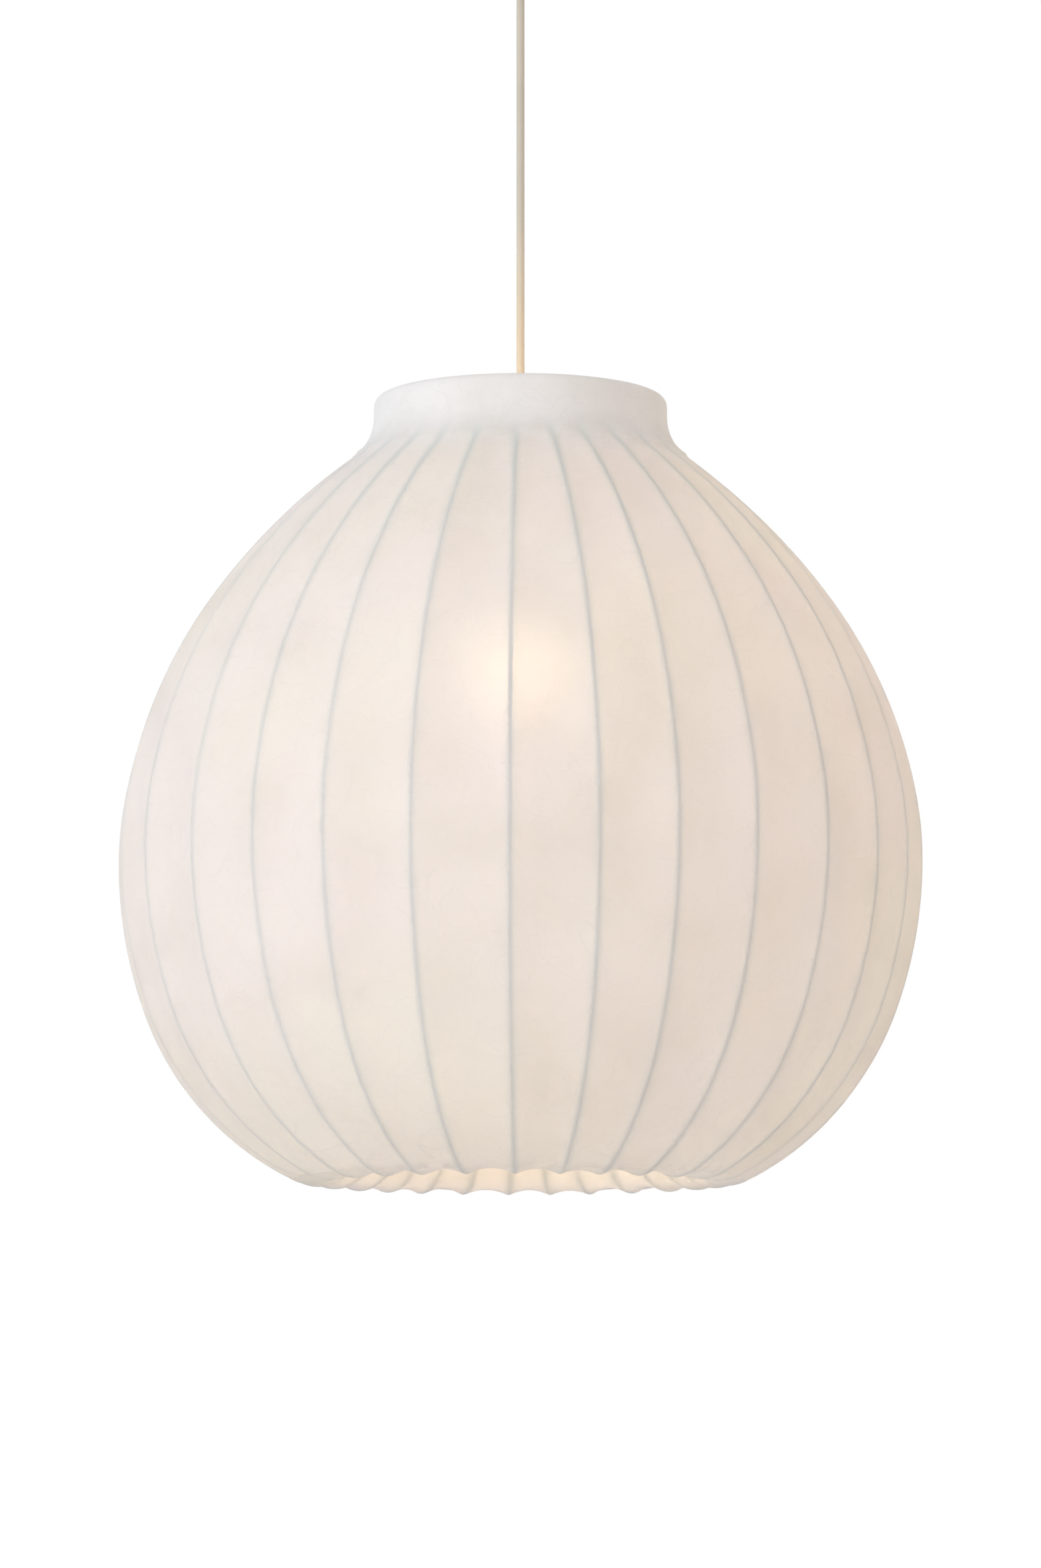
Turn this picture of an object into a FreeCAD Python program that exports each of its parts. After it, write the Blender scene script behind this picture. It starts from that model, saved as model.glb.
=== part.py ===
import FreeCAD, Part
import math
import os
import re
import Sketcher
from FreeCAD import Placement, Rotation, Vector

# A ribbed pendant lamp that hangs from a ceiling bar.
# Frame: +Z up, origin in the middle of the ceiling bar's top face, which lies on the ceiling.
# Every "level" is a height above the lowest point of the shade, which hangs `drop` under the ceiling.
# The shade's outline is a chain of tangent arcs, turned from its widest circle up and down.

SIZES = {
    # shade outline: each arc's bend radius and turn, from the widest circle up, then down
    "drop": 817, "widest_radius": 249, "widest_level": 200,
    "belly_bend": 208, "belly_turn": 9.4, "shoulder_bend": 303, "shoulder_turn": 25.8,
    "slope_bend": 401, "slope_turn": 18.2, "neck_bend": 36.5,
    "under_bend": 277, "under_turn": 20, "bowl_bend": 184, "bowl_turn": 44,
    "lip_bend": 28, "lip_turn": 116, "lip_edge": 5, "collar_rise": 5.8, "crown_bend": 6, "hem": 10,
    "skin": 0.6, "seam": 0.05, "rib_wire": 1.25, "rib_count": 29,
    # ribs: the first one's turn about +Z, and how far the wires stray from an even spacing, in degrees
    "rib_front": -92.78, "rib_stray": 0.74,
    # collar band with its rolled bead, bottom ring, and the spider that carries the lamp holder
    "band_wall": 1, "band_level": 436, "band_tuck": 4.3, "bead_wall": 0.9, "slit_inset": 2.5,
    "slit_width": 1.5, "bottom_wire": 2, "spider_level": 388, "spider_plate": 2, "spider_radius": 29,
    "arm_wire": 2, "arm_start": 25.5, "arm_sink": 0.3, "arm_knee": 36, "arm_foot_level": 440,
    "arm_foot": 18, "arm_bend": 9, "arm_count": 3,
    # lamp holder
    "thread_radius": 19.8, "thread_play": 0.1, "plate_play": 0.3, "holder_level": 362,
    "holder_height": 48, "holder_wall": 2.6, "shoulder_radius": 23, "shoulder_depth": 4,
    "ring_radius": 27, "ring_height": 9, "insert_radius": 16.9, "insert_level": 374,
    "insert_height": 34, "insert_wall": 1.9, "insert_floor": 6, "shell_radius": 14.6,
    "shell_wall": 0.6, "shell_height": 21, "shell_inset": 1, "contact_radius": 3, "contact_tip": 1.8,
    "contact_play": 0.1, "cap_radius": 20.6, "cap_height": 19, "cap_skirt": 6, "cap_wall": 1.6,
    "cap_neck": 10, "nipple_radius": 5, "nipple_wall": 2, "nipple_level": 420, "nipple_length": 18,
    "nipple_play": 0.1, "grip_radius": 7, "grip_tip": 5.6, "grip_height": 16, "grip_waist": 12,
    "grip_pocket": 10, "grip_screw": 1.5, "grip_screw_height": 13, "grip_screw_length": 5.2,
    "screw_play": 0.1,
    # bulb
    "bulb_level": 320, "bulb_radius": 30, "bulb_wall": 1, "bulb_cut": 337, "neck_height": 34.35,
    "neck_low": 13.7, "neck_high": 24, "neck_bulge": 21.7, "neck_waist": 16.2,
    "housing_wall": 1.5, "board_radius": 22.2, "board_wall": 1.6, "screw_cap_radius": 13.2,
    "screw_cap_wall": 0.6, "screw_cap_height": 21, "screw_cap_roof": 2, "button_radius": 4.5,
    "button_height": 0.85, "glaze_height": 2.6, "glaze_radius": 7.2,
    # cable and ceiling fitting
    "cable_radius": 2.5, "cable_play": 0.1, "cable_end_level": 425, "tail_gap": 0.5, "bar_length": 94,
    "bar_width": 24, "bar_wall": 2, "bar_spacing": 60, "bar_hole": 2.5, "tab_depth": 12,
    "canopy_gap": 0.5, "canopy_radius": 50, "canopy_wall": 1.2, "canopy_depth": 44.5,
    "canopy_bevel": 6, "side_screw": 1.9, "side_screw_depth": 8, "side_head": 3.5,
    "side_head_height": 2, "gland_radius": 9, "gland_drop": 8, "gland_rise": 10, "ball_radius": 6,
    "ball_play": 0.1, "ball_mouth": 4.4, "mouth_radius": 6.4, "mouth_throat": 4.6, "mouth_height": 5,
    "nut_radius": 8, "nut_height": 4, "block_length": 22, "block_width": 16, "block_height": 15,
    "block_screw": 1.8, "block_screw_height": 1.2, "block_spread": 5.5,
}

doc = FreeCAD.newDocument("pendant_lamp")
sheet = doc.addObject("Spreadsheet::Sheet", "sizes")
names = []
parts = {}


def size(name):
    """A driving size, read back from the sheet as a plain number."""
    return float(getattr(sheet, name))


def formula(text):
    """The text with each size's name pointing at its cell."""
    return re.sub(r"[a-z_]+", lambda m: "sizes." + m[0] if m[0] in names else m[0], str(text))


def add_size(name, value):
    """One more named cell, for a size that follows from the driving ones."""
    names.append(name)
    sheet.set(f"A{len(names)}", name)
    sheet.set(f"B{len(names)}", str(value))
    sheet.setAlias(f"B{len(names)}", name)
    sheet.recompute()


for size_name, size_value in SIZES.items():
    add_size(size_name, size_value)
doc.recompute()


def bind(thing, **cells):
    """Ties properties, such as Radius or Placement__Base__z, to formulas of sheet sizes."""
    for prop, text in cells.items():
        thing.setExpression(prop.replace("__", "."), formula(text))
    return thing


def make(kind, **cells):
    """A Part primitive with its properties bound."""
    return bind(doc.addObject(f"Part::{kind}", kind.lower()), **cells)


def combine(kind, *things):
    """Part::Fuse or Part::Cut over two shapes, or Part::Compound or MultiFuse over several."""
    whole = doc.addObject(f"Part::{kind}", kind.lower())
    if kind == "Compound":
        whole.Links = list(things)
    elif kind == "MultiFuse":
        whole.Shapes = list(things)
    else:
        whole.Base, whole.Tool = things
    return whole


def keep(label, thing):
    """Names a finished sub-part; its label is its file's name."""
    thing.Label = label
    parts[label] = thing
    return thing


def origin_plane(body, role):
    """One of the body's own origin planes, found by its role."""
    return next(f for f in body.Origin.OriginFeatures if f.Role == role)


def sketch_on(body, role, name):
    sketch = body.newObject("Sketcher::SketchObject", name)
    sketch.AttachmentSupport = (origin_plane(body, role), "")
    sketch.MapMode = "FlatFace"
    return sketch


def place_point(sketch, line, across, along):
    """Ties a line's start to a distance across and along the sketch's axes."""
    for kind, text, axis in (("DistanceX", across, -2), ("DistanceY", along, -1)):
        if str(text) == "0":
            sketch.addConstraint(Sketcher.Constraint("PointOnObject", line, 1, axis))
            continue
        start = sketch.Geometry[line].StartPoint
        now = start.x if kind == "DistanceX" else start.y
        index = sketch.addConstraint(Sketcher.Constraint(kind, -1, 1, line, 1, now))
        sketch.setExpression(f"Constraints[{index}]", formula(text))


def value_of(text):
    """A formula's value now, as a plain number."""
    return float(sheet.evalExpression(formula(text)))


def turned(label, level, outline, reverse=False):
    """A Body turned about Z from a closed outline of (radius, height) formulas, standing on `level`."""
    body = doc.addObject("PartDesign::Body", label)
    sketch = sketch_on(body, "XZ_Plane", label + "_outline")
    spots = [Vector(value_of(r), value_of(h), 0) for r, h in outline]
    for start, end in zip(spots, spots[1:] + spots[:1]):
        sketch.addGeometry(Part.LineSegment(start, end), False)
    last = len(outline) - 1
    for line, (across, along) in enumerate(outline):
        before = line - 1 if line else last
        sketch.addConstraint(Sketcher.Constraint("Coincident", before, 2, line, 1))
        place_point(sketch, line, across, along)
    spun = body.newObject("PartDesign::Revolution", label + "_turned")
    spun.Profile = sketch
    spun.ReferenceAxis = (sketch, ["V_Axis"])
    body.Tip = spun
    bind(body, Placement__Base__z=f"{level} - drop")
    return keep(label, body)


def drilled(label, axis_height, radius, both_walls):
    """Cuts a round hole along X through one wall or both walls of a kept Body, at a height above its base."""
    body = parts[label]
    sketch = sketch_on(body, "YZ_Plane", label + "_hole")
    circle = Part.Circle(Vector(0, value_of(axis_height), 0), Vector(0, 0, 1), value_of(radius))
    sketch.addGeometry(circle, False)
    sketch.addConstraint(Sketcher.Constraint("PointOnObject", 0, 3, -2))
    for kind, text in (("DistanceY", axis_height), ("Radius", radius)):
        where = (-1, 1, 0, 3) if kind == "DistanceY" else (0,)
        index = sketch.addConstraint(Sketcher.Constraint(kind, *where, value_of(text)))
        sketch.setExpression(f"Constraints[{index}]", formula(text))
    doc.recompute()
    before = body.Shape.Volume
    hole = body.newObject("PartDesign::Pocket", label + "_drilled")
    hole.Profile = sketch
    hole.Type = "ThroughAll"
    hole.Midplane = both_walls
    hole.Reversed = not both_walls
    body.Tip = hole
    doc.recompute()
    if body.Shape.Volume > before - value_of(radius):
        raise SystemExit(f"{label}: its hole cut nothing")


def outline_arcs(offset):
    """The shade's outline moved inwards by `offset`: arcs and straights as edges, from lip to hem."""
    climbs = [(size(f"{name}_bend"), size(f"{name}_turn"), 1) for name in ("belly", "shoulder", "slope")]
    climbs.append((size("neck_bend"), sum(turn for _, turn, _ in climbs), -1))
    falls = [(size(f"{name}_bend"), size(f"{name}_turn"), 1) for name in ("under", "bowl", "lip")]
    start = (size("widest_radius") - offset, size("widest_level") - size("drop"))
    return chain(start, falls, -1, offset), chain(start, climbs, 1, offset)


def chain(start, bends, way, offset):
    """Tangent arcs from a vertical start. way is 1 upwards, -1 downwards; side -1 bends outwards."""
    r, z = start
    lean, edges = 0.0, []
    for bend, turn, side in bends:
        bend -= side * offset
        bend *= side
        centre = Vector(r - bend * math.cos(lean), 0, z - way * bend * math.sin(lean))
        leans = [lean + side * math.radians(turn) * part for part in (0, 0.5, 1)]
        spots = [centre + Vector(bend * math.cos(a), 0, way * bend * math.sin(a)) for a in leans]
        edges.append(Part.Arc(*spots).toShape())
        r, z, lean = spots[2].x, spots[2].z, leans[2]
    return edges


def end_of(edges):
    """The free end of a chain of arcs that starts on the widest circle."""
    return edges[-1].valueAt(edges[-1].LastParameter)


def straight(start, rise):
    """An upright line from a point."""
    return Part.LineSegment(start, start + Vector(0, 0, rise)).toShape()


def reversed_run(edges):
    return [edge.copy() for edge in reversed(edges)]


def skin_side(offset):
    """One face of the skin in section: lip edge, lip, bowl, belly, neck, collar, crown and hem."""
    falls, climbs = outline_arcs(offset)
    lip_end, neck_end = end_of(falls), end_of(climbs)
    collar = straight(neck_end, size("collar_rise"))
    crown_bend = size("crown_bend") - offset
    top = neck_end + Vector(0, 0, size("collar_rise"))
    across = top - Vector(2 * crown_bend, 0, 0)
    crown = Part.Arc(top, top + Vector(-crown_bend, 0, crown_bend), across).toShape()
    edge, hem = straight(lip_end, size("lip_edge")), straight(across, -size("hem"))
    run = [edge, *reversed_run(falls), *climbs, collar, crown, hem]
    return run, lip_end + Vector(0, 0, size("lip_edge")), across - Vector(0, 0, size("hem"))


def feature(label, shape, placement=None):
    """A sub-part whose shape is worked out here, from sizes read from the sheet."""
    made = doc.addObject("Part::Feature", label)
    made.Shape = shape
    if placement is not None:
        made.Placement = placement
    return keep(label, made)


def swept(wire, radius):
    """A round bar along a wire that starts at its first vertex."""
    first = wire.OrderedEdges[0]
    start = wire.OrderedVertexes[0].Point
    heading = first.tangentAt(first.FirstParameter if (
        first.valueAt(first.FirstParameter) - start).Length < 1e-6 else first.LastParameter)
    ring = Part.Wire([Part.makeCircle(radius, start, heading)])
    return wire.makePipeShell([ring], True, True)


# --- the shade: skin, ribs and the two rings they are welded to ---
outer, outer_low, outer_high = skin_side(0)
inner, inner_low, inner_high = skin_side(size("skin"))
joins = [Part.LineSegment(a, b).toShape() for a, b in ((outer_low, inner_low), (outer_high, inner_high))]
section = Part.Face(Part.Wire(Part.__sortEdges__(outer + inner + joins)))
feature("shade_skin", section.revolve(Vector(0, 0, 0), Vector(0, 0, 1), 360))

rib_offset = size("skin") + size("seam") + size("rib_wire")
rib_falls, rib_climbs = outline_arcs(rib_offset)
rib_line = Part.Wire(Part.__sortEdges__(reversed_run(rib_falls) + rib_climbs))
rib = swept(rib_line, size("rib_wire"))
for number in range(int(size("rib_count"))):
    part_turn = math.tau * number / size("rib_count")
    stray = math.cos(2 * part_turn + 0.18) + math.cos(7 * part_turn - 0.63)
    turn = size("rib_front") + math.degrees(part_turn) + size("rib_stray") * stray
    feature(f"rib_{number + 1:02d}", rib.copy(), Placement(Vector(), Rotation(Vector(0, 0, 1), turn)))

print("skin: lip edge", outer_low, "hem", outer_high, "volume", parts["shade_skin"].Shape.Volume)
print("rib volume over section times length",
      rib.Volume / (math.pi * size("rib_wire") ** 2 * rib_line.Length))

# Where the outline's ends came out, for the pieces that meet it.
low_end, high_end = (end_of(edges) for edges in outline_arcs(0))
add_size("lip_radius", low_end.x)
add_size("lip_level", low_end.z + size("drop"))
add_size("collar_radius", high_end.x)
add_size("crown_level", high_end.z + size("drop") + size("collar_rise"))
add_size("bead_radius", size("crown_bend") - size("skin") - size("seam"))
add_size("bead_circle", size("collar_radius") - size("crown_bend"))
add_size("band_radius", size("collar_radius") - size("skin") - 2 * size("seam") - 2 * size("rib_wire"))
doc.recompute()


def level(thing, text):
    """Stands a primitive on a level above the shade's lowest point."""
    return bind(thing, Placement__Base__z=f"{text} - drop")


def tube(outer_radius, inner_radius, height, base):
    """A ring-shaped solid with a plain bore."""
    shell = level(make("Cylinder", Radius=outer_radius, Height=height), base)
    bore = level(make("Cylinder", Radius=inner_radius, Height=height), base)
    return combine("Cut", shell, bore)


# Collar band: a rolled strip whose top edge curls into a hollow bead under the skin's crown.
strip = tube("band_radius", "band_radius - band_wall",
             "crown_level - band_tuck - band_level", "band_level")
bead_out = level(make("Torus", Radius1="bead_circle", Radius2="bead_radius"), "crown_level")
bead_in = level(make("Torus", Radius1="bead_circle", Radius2="bead_radius - bead_wall"), "crown_level")
slit = tube("bead_circle - slit_inset + slit_width", "bead_circle - slit_inset",
            "bead_radius", "crown_level - bead_radius")
bead = combine("Cut", combine("Cut", bead_out, bead_in), slit)
keep("collar_band", combine("Fuse", strip, bead))

bottom = make("Torus", Radius1="lip_radius + skin + seam + bottom_wire", Radius2="bottom_wire")
keep("bottom_ring", level(bottom, "lip_level + 2*seam + bottom_wire"))


def bent_rod(corners, radius, bend):
    """A round bar through corner points, with an arc of one bend radius at each inner corner."""
    edges, start = [], corners[0]
    for before, corner, after in zip(corners, corners[1:], corners[2:]):
        back, ahead = (before - corner).normalize(), (after - corner).normalize()
        half = back.getAngle(ahead) / 2
        reach = bend / math.tan(half)
        middle = corner + (back + ahead).normalize() * (bend / math.sin(half) - bend)
        first, last = corner + back * reach, corner + ahead * reach
        edges += [Part.LineSegment(start, first).toShape(), Part.Arc(first, middle, last).toShape()]
        start = last
    edges.append(Part.LineSegment(start, corners[-1]).toShape())
    return swept(Part.Wire(edges), radius)


# Spider: a flat ring under the holder's shoulder and three wire arms up to the band's inner face.
arm_height = size("spider_level") + size("spider_plate") + size("arm_wire") - size("arm_sink")
arm_reach = size("band_radius") - size("band_wall") - size("arm_wire") - 2 * size("seam")
foot_low = size("arm_foot_level")
arm_corners = [
    Vector(r, 0, height - size("drop"))
    for r, height in (
        (size("arm_start"), arm_height), (size("arm_knee"), arm_height),
        (arm_reach, foot_low), (arm_reach, foot_low + size("arm_foot")),
    )
]
arm = bent_rod(arm_corners, size("arm_wire"), size("arm_bend"))
arms = []
for number in range(int(size("arm_count"))):
    arms.append(doc.addObject("Part::Feature", "spider_arm"))
    arms[-1].Shape = arm
    arms[-1].Placement = Placement(Vector(), Rotation(Vector(0, 0, 1), 360 * number / size("arm_count")))
spider_plate = tube("spider_radius", "thread_radius + plate_play", "spider_plate", "spider_level")
keep("spider", combine("MultiFuse", spider_plate, *arms))

# --- lamp holder, from the shade ring up to the cable's grip ---
SHOULDER = "spider_level + spider_plate + seam - holder_level"
turned("holder_body", "holder_level", [
    ("thread_radius - holder_wall", "0"), ("thread_radius", "0"), ("thread_radius", SHOULDER),
    ("shoulder_radius", SHOULDER), ("shoulder_radius", SHOULDER + " + shoulder_depth"),
    ("thread_radius", SHOULDER + " + shoulder_depth"), ("thread_radius", "holder_height"),
    ("thread_radius - holder_wall", "holder_height"),
])
turned("shade_ring", "spider_level - thread_play - ring_height", [
    ("thread_radius + thread_play", "0"), ("ring_radius", "0"),
    ("ring_radius", "ring_height"), ("thread_radius + thread_play", "ring_height"),
])
turned("contact_insert", "insert_level", [
    ("insert_radius - insert_wall", "0"), ("insert_radius", "0"), ("insert_radius", "insert_height"),
    ("0", "insert_height"), ("0", "insert_height - insert_floor"),
    ("insert_radius - insert_wall", "insert_height - insert_floor"),
])
keep("screw_shell", tube(
    "shell_radius", "shell_radius - shell_wall", "shell_height", "insert_level + shell_inset"))
GLAZE_LEVEL = "bulb_cut + neck_height + screw_cap_height + screw_cap_roof + 2*seam"
BULB_TOP = f"{GLAZE_LEVEL} + glaze_height + button_height + seam"
keep("centre_contact", level(make(
    "Cone", Radius1="contact_tip", Radius2="contact_radius",
    Height=f"insert_level + insert_height - insert_floor - ({BULB_TOP}) - 2*contact_play",
), f"{BULB_TOP} + contact_play"))
turned("holder_cap", "holder_level + holder_height + seam", [
    ("cap_radius - cap_wall", "0"), ("cap_radius", "0"), ("cap_radius", "cap_skirt"),
    ("cap_neck", "cap_height"), ("nipple_radius + nipple_play", "cap_height"),
    ("nipple_radius + nipple_play", "cap_height - cap_wall"),
    ("cap_neck - cap_wall/2", "cap_height - cap_wall"),
    ("cap_radius - cap_wall", "cap_skirt - cap_wall/2"),
])
keep("threaded_nipple", tube(
    "nipple_radius", "nipple_radius - nipple_wall", "nipple_length", "nipple_level"))
GRIP_LEVEL = "holder_level + holder_height + cap_height + 2*seam"
turned("cord_grip", GRIP_LEVEL, [
    ("nipple_radius + nipple_play", "0"), ("grip_radius", "0"), ("grip_radius", "grip_waist"),
    ("grip_tip", "grip_height"), ("cable_radius + cable_play", "grip_height"),
    ("cable_radius + cable_play", "grip_pocket"), ("nipple_radius + nipple_play", "grip_pocket"),
])
drilled("cord_grip", "grip_screw_height", "grip_screw + screw_play", both_walls=False)
grip_screw = make("Cylinder", Radius="grip_screw", Height="grip_screw_length")
grip_screw.Placement = Placement(Vector(), Rotation(Vector(0, 1, 0), 90))
bind(grip_screw, Placement__Base__x="cable_radius + 2*cable_play")
keep("grip_screw", level(grip_screw, f"{GRIP_LEVEL} + grip_screw_height"))

# --- bulb: screw cap, glazed insulator, centre button, neck housing, light board and opal dome ---
add_size("dome_rim", value_of("sqrt(bulb_radius^2 - (bulb_cut - bulb_level)^2)"))
doc.recompute()
turned("bulb_cap", "bulb_cut + neck_height + seam", [
    ("screw_cap_radius - screw_cap_wall", "0"), ("screw_cap_radius", "0"),
    ("screw_cap_radius", "screw_cap_height"),
    ("glaze_radius + screw_cap_wall", "screw_cap_height + screw_cap_roof"),
    ("glaze_radius", "screw_cap_height + screw_cap_roof"),
    ("glaze_radius", "screw_cap_height + screw_cap_wall"),
    ("screw_cap_radius - screw_cap_wall", "screw_cap_height - screw_cap_wall"),
])
keep("bulb_insulator", level(make(
    "Cone", Radius1="glaze_radius", Radius2="button_radius", Height="glaze_height"), GLAZE_LEVEL))
keep("bulb_button", level(make(
    "Cylinder", Radius="button_radius", Height="button_height"), GLAZE_LEVEL + " + glaze_height + seam"))
turned("bulb_neck", "bulb_cut", [
    ("dome_rim - housing_wall", "0"), ("dome_rim", "0"), ("neck_bulge", "neck_low"),
    ("neck_waist", "neck_high"), ("screw_cap_radius", "neck_height"),
    ("screw_cap_radius - housing_wall", "neck_height"), ("neck_waist - housing_wall", "neck_high"),
    ("neck_bulge - housing_wall", "neck_low"),
])
keep("light_board", level(make("Cylinder", Radius="board_radius", Height="board_wall"), "bulb_cut + seam"))
dome_out = level(make("Sphere", Radius="bulb_radius"), "bulb_level")
dome_in = level(make("Sphere", Radius="bulb_radius - bulb_wall"), "bulb_level")
trim = level(make("Cylinder", Radius="bulb_radius", Height="bulb_radius"), "bulb_cut - seam")
keep("bulb_dome", combine("Cut", combine("Cut", dome_out, dome_in), trim))

# --- cable: one straight run that ends in a round tip at the pivot in the ceiling gland ---
PIVOT = "drop - canopy_gap - canopy_depth - gland_drop"
run = level(make("Cylinder", Radius="cable_radius", Height=f"{PIVOT} - cable_end_level"), "cable_end_level")
tip = level(make("Sphere", Radius="cable_radius"), PIVOT)
keep("cable", combine("Fuse", run, tip))

# --- ceiling fitting: bar, canopy, gland with its swivel ball, terminal block ---
FLOOR = "drop - canopy_gap - canopy_depth"


def centred_box(length, width, height, base, x="0"):
    """A box whose middle stands over (x, 0) on a level."""
    box = make("Box", Length=length, Width=width, Height=height)
    bind(box, Placement__Base__x=f"{x} - ({length})/2", Placement__Base__y=f"-({width})/2")
    return level(box, base)


def along_x(radius, length, start, height):
    """A round bar lying along +X from x = start at a level."""
    bar = make("Cylinder", Radius=radius, Height=length)
    bar.Placement = Placement(Vector(), Rotation(Vector(0, 1, 0), 90))
    bind(bar, Placement__Base__x=start)
    return level(bar, height)


bar_solids = [centred_box("bar_length", "bar_width", "bar_wall", "drop - bar_wall")]
for side in (1, -1):
    bar_solids.append(centred_box(
        "bar_wall", "bar_width", "tab_depth", "drop - tab_depth", f"{side}*(bar_length - bar_wall)/2"))
SIDE_LEVEL = "drop - side_screw_depth"
holes = [along_x("side_screw + screw_play", "bar_length", "-bar_length/2", SIDE_LEVEL)]
for side in (1, -1):
    hole = level(make("Cylinder", Radius="bar_hole", Height="bar_wall"), "drop - bar_wall")
    holes.append(bind(hole, Placement__Base__x=f"{side}*bar_spacing/2"))
keep("ceiling_bar", combine("Cut", combine("MultiFuse", *bar_solids), combine("MultiFuse", *holes)))

turned("canopy", FLOOR, [
    ("nipple_radius + nipple_play", "0"), ("canopy_radius - canopy_bevel", "0"),
    ("canopy_radius", "canopy_bevel"), ("canopy_radius", "canopy_depth"),
    ("canopy_radius - canopy_wall", "canopy_depth"),
    ("canopy_radius - canopy_wall", "canopy_bevel + canopy_wall/2"),
    ("canopy_radius - canopy_bevel - canopy_wall/2", "canopy_wall"),
    ("nipple_radius + nipple_play", "canopy_wall"),
])
drilled("canopy", f"{SIDE_LEVEL} - ({FLOOR})", "side_screw + 2*screw_play", both_walls=True)

screws = []
for side in (1, -1):
    shaft = along_x("side_screw", "canopy_radius - bar_length/2 + 2*bar_wall + side_head_height/2",
                    "bar_length/2 - 2*bar_wall", SIDE_LEVEL)
    head = along_x("side_head", "side_head_height", "canopy_radius + seam", SIDE_LEVEL)
    screws.append(combine("Fuse", shaft, head))
    if side == -1:
        screws[-1].Placement = Placement(Vector(), Rotation(Vector(0, 0, 1), 180))
keep("canopy_screws", combine("Compound", *screws))

gland_body = combine("Fuse",
                     level(make("Cylinder", Radius="gland_radius", Height="gland_drop - seam"), PIVOT),
                     level(make("Cylinder", Radius="nipple_radius", Height="gland_drop + gland_rise"), PIVOT))
seat = level(make("Sphere", Radius="ball_radius + ball_play"), PIVOT)
bore = level(make("Cylinder", Radius="cable_radius + cable_play", Height="gland_drop + gland_rise"), PIVOT)
keep("cord_gland", combine("Cut", gland_body, combine("Fuse", seat, bore)))

cap_body = level(make("Cylinder", Radius="gland_radius", Height="gland_drop - seam"), f"{PIVOT} - gland_drop")
cap_seat = level(make("Sphere", Radius="ball_radius + ball_play"), PIVOT)
cap_mouth = level(make("Cone", Radius1="mouth_radius", Radius2="mouth_throat", Height="mouth_height"),
                  f"{PIVOT} - gland_drop")
keep("gland_cap", combine("Cut", cap_body, combine("Fuse", cap_seat, cap_mouth)))

ball = level(make("Sphere", Radius="ball_radius"), PIVOT)
ball_bore = level(make("Cylinder", Radius="cable_radius + cable_play", Height="ball_radius"), PIVOT)
ball_cone = level(make(
    "Cone", Radius1="ball_mouth", Radius2="cable_radius + cable_play", Height="ball_radius",
), f"{PIVOT} - ball_radius")
keep("swivel_ball", combine("Cut", ball, combine("Fuse", ball_bore, ball_cone)))

NUT_LEVEL = f"{FLOOR} + canopy_wall + seam"
nut = level(make("Prism", Circumradius="nut_radius", Height="nut_height"), NUT_LEVEL)
nut.Polygon = 6
nut_bore = level(make("Cylinder", Radius="nipple_radius + seam", Height="nut_height"), NUT_LEVEL)
keep("gland_nut", combine("Cut", nut, nut_bore))

BLOCK_LEVEL = "drop - bar_wall - seam - block_height"
keep("terminal_block", centred_box("block_length", "block_width", "block_height", BLOCK_LEVEL))
block_screws = []
for across in (-1, 1):
    for row in (1, 3):
        screw = make("Cylinder", Radius="block_screw", Height="block_screw_height")
        screw.Placement = Placement(Vector(), Rotation(Vector(1, 0, 0), 90))
        bind(screw, Placement__Base__x=f"{across}*block_spread", Placement__Base__y="-block_width/2 - seam")
        block_screws.append(level(screw, f"{BLOCK_LEVEL} + {row}*block_height/4"))
keep("terminal_screws", combine("Compound", *block_screws))
TAIL_LEVEL = f"{PIVOT} + ball_radius + tail_gap"
keep("cable_tail", level(make(
    "Cylinder", Radius="cable_radius", Height=f"{BLOCK_LEVEL} - seam - ({TAIL_LEVEL})"), TAIL_LEVEL))

# --- checks, then one STEP file for each sub-part ---
doc.recompute()
for thing in doc.Objects:
    if "Invalid" in thing.State or "Error" in thing.State:
        raise SystemExit(f"{thing.Label} failed: {thing.State}")
os.makedirs("parts", exist_ok=True)
for label, thing in parts.items():
    shape = thing.Shape
    if shape.isNull() or not shape.isValid() or not shape.Solids:
        raise SystemExit(f"{label} has no valid solid")
    shape.exportStep(f"parts/{label}.step")
cable_run = value_of(f"{PIVOT} - cable_end_level")
cable_ratio = run.Shape.Volume / (math.pi * size("cable_radius") ** 2 * cable_run)
print(len(parts), "sub-parts; cable run", round(cable_run, 1), "mm, volume ratio", round(cable_ratio, 4))
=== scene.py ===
# %% [markdown]
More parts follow.
